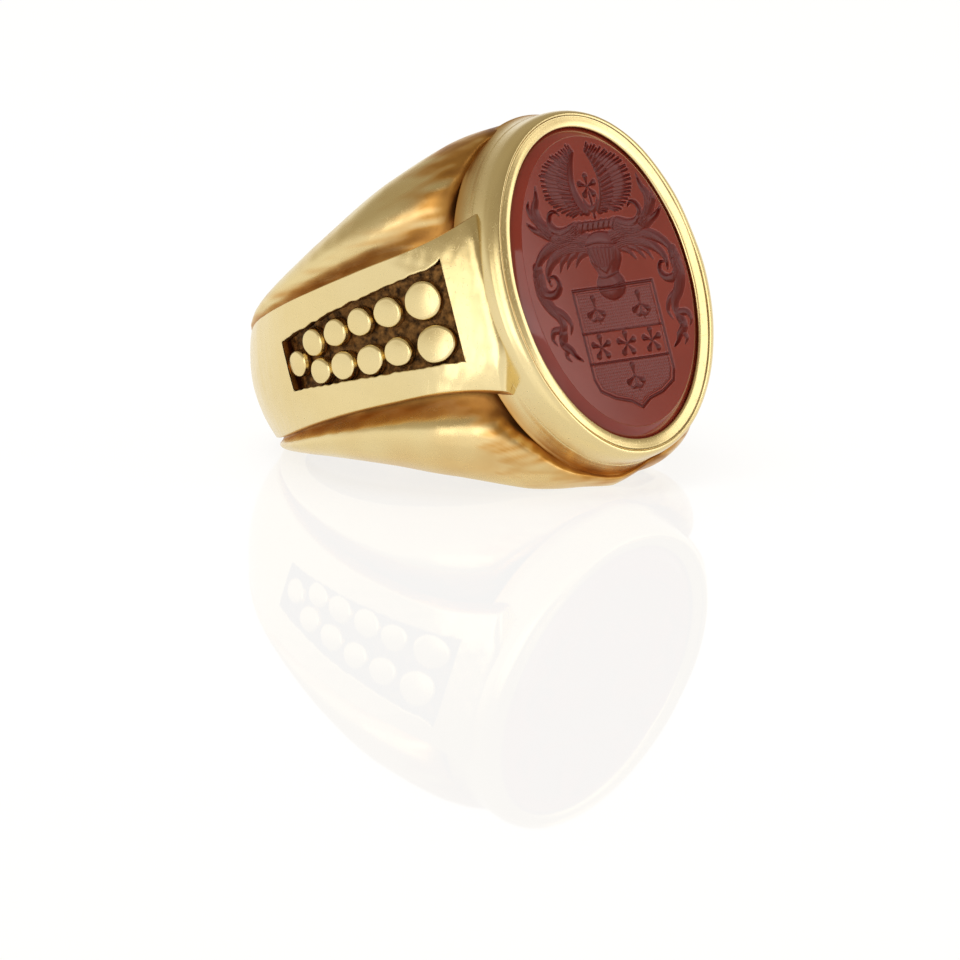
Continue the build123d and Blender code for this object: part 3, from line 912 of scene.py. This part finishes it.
def engrave_helm(r):
    """Twisted wreath over a barred helm."""
    r.sink(WREATH, 0.16, 0.16)
    for k in range(8):
        c = -1.25 + 0.40 * k
        r.groove([(c - 0.12, 2.86), (c, 3.12), (c + 0.20, 3.44)], 0.10, 0.06)
    r.sink(curve(HELM, 5)[:-1], 0.32, 0.50)
    box, d = r.inside(VISOR)
    r.depth[box] += 0.07 * np.clip(d / 0.08, 0, 1)
    for k in range(6):
        c = -0.55 + 0.31 * k
        r.groove([(c, 1.97), (0.25 + (c - 0.25) * 0.62, 0.85)], 0.08, -0.05)
    r.groove([(-0.92, 2.12), (0.15, 2.25), (1.40, 2.04)], 0.10, 0.06)
    r.groove([(-0.62, 0.42), (0.15, 0.25), (0.92, 0.42)], 0.10, 0.06)
    r.groove([(-0.90, -0.10), (0.15, -0.35), (1.15, -0.10)], 0.08, 0.05)
    r.stroke([(0.14, -0.55), (0.16, -0.75)], 0.20, 0.34, tip=1.0)


def engrave_shield(r):
    """Hatched shield with three flowers on a plain fess and three trefoils round it."""
    box, d = r.inside(SHIELD)
    x, y = r.x[box], r.y[box]
    upright = 0.5 - 0.5 * np.cos(2 * math.pi * x / HATCH_PITCH)
    level = 0.5 - 0.5 * np.cos(2 * math.pi * y / HATCH_PITCH)
    fess = (y < FESS_TOP) & (y > FESS_BOTTOM)
    hatch = np.where(fess, 0.0, 0.020 + 0.022 * np.maximum(upright, level * 0.8))
    field = np.where((d > 0.26) & (r.depth[box] < 0.02), hatch, 0.0)
    r.depth[box] = np.maximum(r.depth[box], field)
    r.rough[box] = np.maximum(r.rough[box], np.clip(field / 0.04, 0, 1) * 0.8)
    outline = np.concatenate((SHIELD, SHIELD[:1]))
    r.groove(outline, 0.20, 0.12, smooth=1)
    inset = SHIELD_CENTRE + (outline - SHIELD_CENTRE) * np.array((0.925, 0.945))
    r.groove(inset, 0.07, 0.05, smooth=1)
    for y in (FESS_TOP, FESS_BOTTOM):
        r.groove([(-2.8, y), (3.15, y - 0.04)], 0.13, 0.10)
    for x, y in FESS_FLOWERS:
        r.rosette(x, y, 0.74, 5, 0.18)
    for x, y in FIELD_TREFOILS:
        r.rosette(x, y + 0.12, 0.78, 3, 0.19)
        r.stroke([(x, y - 0.1), (x + 0.05, y - 0.45), (x + 0.15, y - 0.72)], 0.16, 0.12, tip=0.5)
        for lean in (-1, 1):
            r.stroke([(x, y - 0.40), (x + 0.28 * lean, y - 0.52), (x + 0.56 * lean, y - 0.38)], 0.26, 0.14)


def engrave(r):
    """Generic achievement: leafy mantling, two wings, sprig, wreath, barred helm and shield."""
    rng = np.random.default_rng(7)
    for side in (1, -1):
        engrave_mantling(r, side, rng)
    for side in (1, -1):
        engrave_wing(r, side, rng)
    engrave_sprig(r)
    engrave_helm(r)
    engrave_shield(r)


def stone_mesh():
    """Stone: engraved table, bevel, upright girdle and flat back."""
    n_across, n_along = 400, 540
    u, v = np.meshgrid(np.linspace(-1, 1, n_across), np.linspace(-1, 1, n_along), indexing="ij")
    x = u * np.sqrt(1 - v * v / 2) * TABLE_OVAL[0]
    y = v * np.sqrt(1 - u * u / 2) * TABLE_OVAL[1]
    relief = Relief(x, y)
    engrave(relief)
    room = 1 - (x / TABLE_OVAL[0]) ** 2 - (y / TABLE_OVAL[1]) ** 2
    fade = np.clip(room / 0.06, 0, 1)
    flat = np.stack((x, y, TABLE_Z - relief.depth * fade), -1).reshape(-1, 3)
    edge = border(np.arange(len(flat)).reshape(n_across, n_along))
    count = len(edge)
    unit = flat[edge, :2] / np.array(TABLE_OVAL)
    below = [((6.03, 8.23), TABLE_Z - 0.015), ((6.08, 8.28), TABLE_Z - 0.06),
             ((6.72, 8.92), GIRDLE_Z + 0.08), (GIRDLE_OVAL, GIRDLE_Z - 0.05),
             (GIRDLE_OVAL, STONE_BACK_Z + 0.02), ((6.4, 8.6), STONE_BACK_Z)]
    levels = [np.column_stack((unit * np.array(oval), np.full(count, z))) for oval, z in below]
    rings = [edge] + [len(flat) + k * count + np.arange(count) for k in range(len(below))]
    points = np.concatenate([flat] + levels)
    points[:, 1] += HEAD_SHIFT
    faces = grid_faces(n_across, n_along, False, False).tolist()
    faces += ring_faces(rings).tolist() + [rings[-1].tolist()]
    carved = np.concatenate(((relief.rough * fade).ravel(), np.zeros(len(points) - len(flat))))
    piece = make_mesh("engraved_carnelian", points, faces, {"carved": carved})
    return finish_piece(piece, ["intaglio_stone"], CARNELIAN)


stone_mesh()
bearing = frame["nodes"]["stone_bearing"]
bearing.data.materials.clear()
bearing.data.materials.append(GOLD)


# ---------------------------------------------------------------- table top and studio
TABLE_SIZE, TABLE_TOP_Z = 6.0, -0.00002
TABLE_GLOW, TABLE_GREY, TABLE_GLOSS = 0.86, 0.22, 0.14
SHADE_DEPTH = 0.28
COOL_WHITE, WARM_SHADE = (1.0, 1.0, 1.0, 1), (1.0, 0.86, 0.62, 1)


def table_material():
    """White acrylic that glows evenly, with a faint mirror image."""
    material = bpy.data.materials.new("white_acrylic")
    material.use_nodes = True
    tree = material.node_tree
    tree.nodes.clear()
    glow = tree.nodes.new("ShaderNodeEmission")
    glow.inputs["Strength"].default_value = TABLE_GLOW
    matt = tree.nodes.new("ShaderNodeBsdfDiffuse")
    matt.inputs["Color"].default_value = (TABLE_GREY, TABLE_GREY, TABLE_GREY, 1)
    lit = tree.nodes.new("ShaderNodeAddShader")
    gloss = tree.nodes.new("ShaderNodeBsdfGlossy")
    gloss.inputs["Roughness"].default_value = 0.02
    surface = tree.nodes.new("ShaderNodeMixShader")
    surface.inputs[0].default_value = TABLE_GLOSS
    output = tree.nodes.new("ShaderNodeOutputMaterial")
    tree.links.new(glow.outputs[0], lit.inputs[0])
    tree.links.new(matt.outputs[0], lit.inputs[1])
    tree.links.new(lit.outputs[0], surface.inputs[1])
    tree.links.new(gloss.outputs[0], surface.inputs[2])
    tree.links.new(surface.outputs[0], output.inputs[0])
    return material


def table_top():
    """Square sheet under the ring, wide enough to fill the view."""
    mesh = bpy.data.meshes.new("table_top")
    half, z = TABLE_SIZE / 2, TABLE_TOP_Z
    corners = [(-half, -half, z), (half, -half, z), (half, half, z), (-half, half, z)]
    mesh.from_pydata(corners, [], [(0, 1, 2, 3)])
    mesh.materials.append(table_material())
    sheet = bpy.data.objects.new("table_top", mesh)
    bpy.context.scene.collection.objects.link(sheet)


def studio_world():
    """White surroundings, dimmer overhead, and dimmer above the table except at the far left.

    The camera itself sees plain white.
    """
    world = bpy.data.worlds.new("studio")
    bpy.context.scene.world = world
    world.use_nodes = True
    n = Nodes(world)
    background = n.tree.nodes["Background"]
    direction = n.tree.nodes.new("ShaderNodeTexCoord")
    part = n.tree.nodes.new("ShaderNodeSeparateXYZ")
    n.link(direction.outputs["Generated"], part.inputs[0])
    level = n.remap(part.outputs["Z"], 0.22, 0.50, 1.0, 0.62)
    off_left = n.remap(part.outputs["X"], -0.97, -0.58)
    backward = n.remap(part.outputs["Y"], -0.8, 0.2)
    shade = n.math("MULTIPLY", off_left, n.remap(part.outputs["Z"], 0.20, 0.33))
    shade = n.math("MULTIPLY", shade, n.remap(backward, 0.0, 1.0, 1.0, 0.55))
    sky = n.math("SUBTRACT", level, n.math("MULTIPLY", shade, SHADE_DEPTH))
    seen = n.tree.nodes.new("ShaderNodeLightPath").outputs["Is Camera Ray"]
    n.link(n.math("MAXIMUM", sky, seen), background.inputs["Strength"])
    n.link(n.mix(n.remap(sky, 0.35, 0.95), WARM_SHADE, COOL_WHITE), background.inputs["Color"])


# Softboxes aimed at the ring: name, direction, width and height in metres, watts, seen in reflections.
LIGHT_DISTANCE, LIGHT_AIM = 0.5, Vector((0, 0, 0.01))
SOFTBOXES = [
    ("overhead", (-0.1, 0.15, 1.0), (0.5, 0.5), 1.2, False),
    ("left_front", (-0.57, -0.73, 0.38), (0.20, 0.3), 0.32, True),
    ("left_edge", (-0.84, -0.46, 0.27), (0.09, 0.3), 0.12, True),
    ("right_front", (0.53, -0.78, 0.35), (0.2, 0.3), 0.30, True),
]


def softbox(name, direction, size, watts, mirrored):
    """Oblong light aimed at the ring from a direction."""
    data = bpy.data.lights.new(name, "AREA")
    data.shape = "RECTANGLE"
    data.size, data.size_y = size
    data.energy = watts
    lamp = bpy.data.objects.new(name, data)
    direction = Vector(direction).normalized()
    lamp.location = LIGHT_AIM + direction * LIGHT_DISTANCE
    lamp.rotation_mode = "QUATERNION"
    lamp.rotation_quaternion = direction.to_track_quat("Z", "Y")
    lamp.visible_glossy = mirrored
    bpy.context.scene.collection.objects.link(lamp)


table_top()
studio_world()
for box in SOFTBOXES:
    softbox(*box)

# ---------------------------------------------------------------- camera
CAMERA_AIM = (-1.474, -8.082, 0.837)
CAMERA_AZIMUTH, CAMERA_ELEVATION, CAMERA_ROLL = -43.489, 11.472, 0.901
CAMERA_DISTANCE = 0.3592
LENS_MM, SENSOR_MM = 241.3, 36.0


def add_camera():
    """Long lens aimed at the ring from the front left, a little above the table."""
    data = bpy.data.cameras.new("camera")
    data.lens = LENS_MM
    data.sensor_width = SENSOR_MM
    data.clip_start = 0.01
    camera = bpy.data.objects.new("camera", data)
    bpy.context.scene.collection.objects.link(camera)
    azimuth, elevation = math.radians(CAMERA_AZIMUTH), math.radians(CAMERA_ELEVATION)
    level = math.cos(elevation)
    towards = Vector((math.sin(azimuth) * level, -math.cos(azimuth) * level, math.sin(elevation)))
    camera.location = Vector(place(CAMERA_AIM).tolist()) + towards * CAMERA_DISTANCE
    camera.rotation_mode = "QUATERNION"
    roll = Quaternion((0, 0, 1), math.radians(CAMERA_ROLL))
    camera.rotation_quaternion = towards.to_track_quat("Z", "Y") @ roll
    bpy.context.scene.camera = camera


add_camera()
bpy.context.scene.view_settings.view_transform = "Standard"
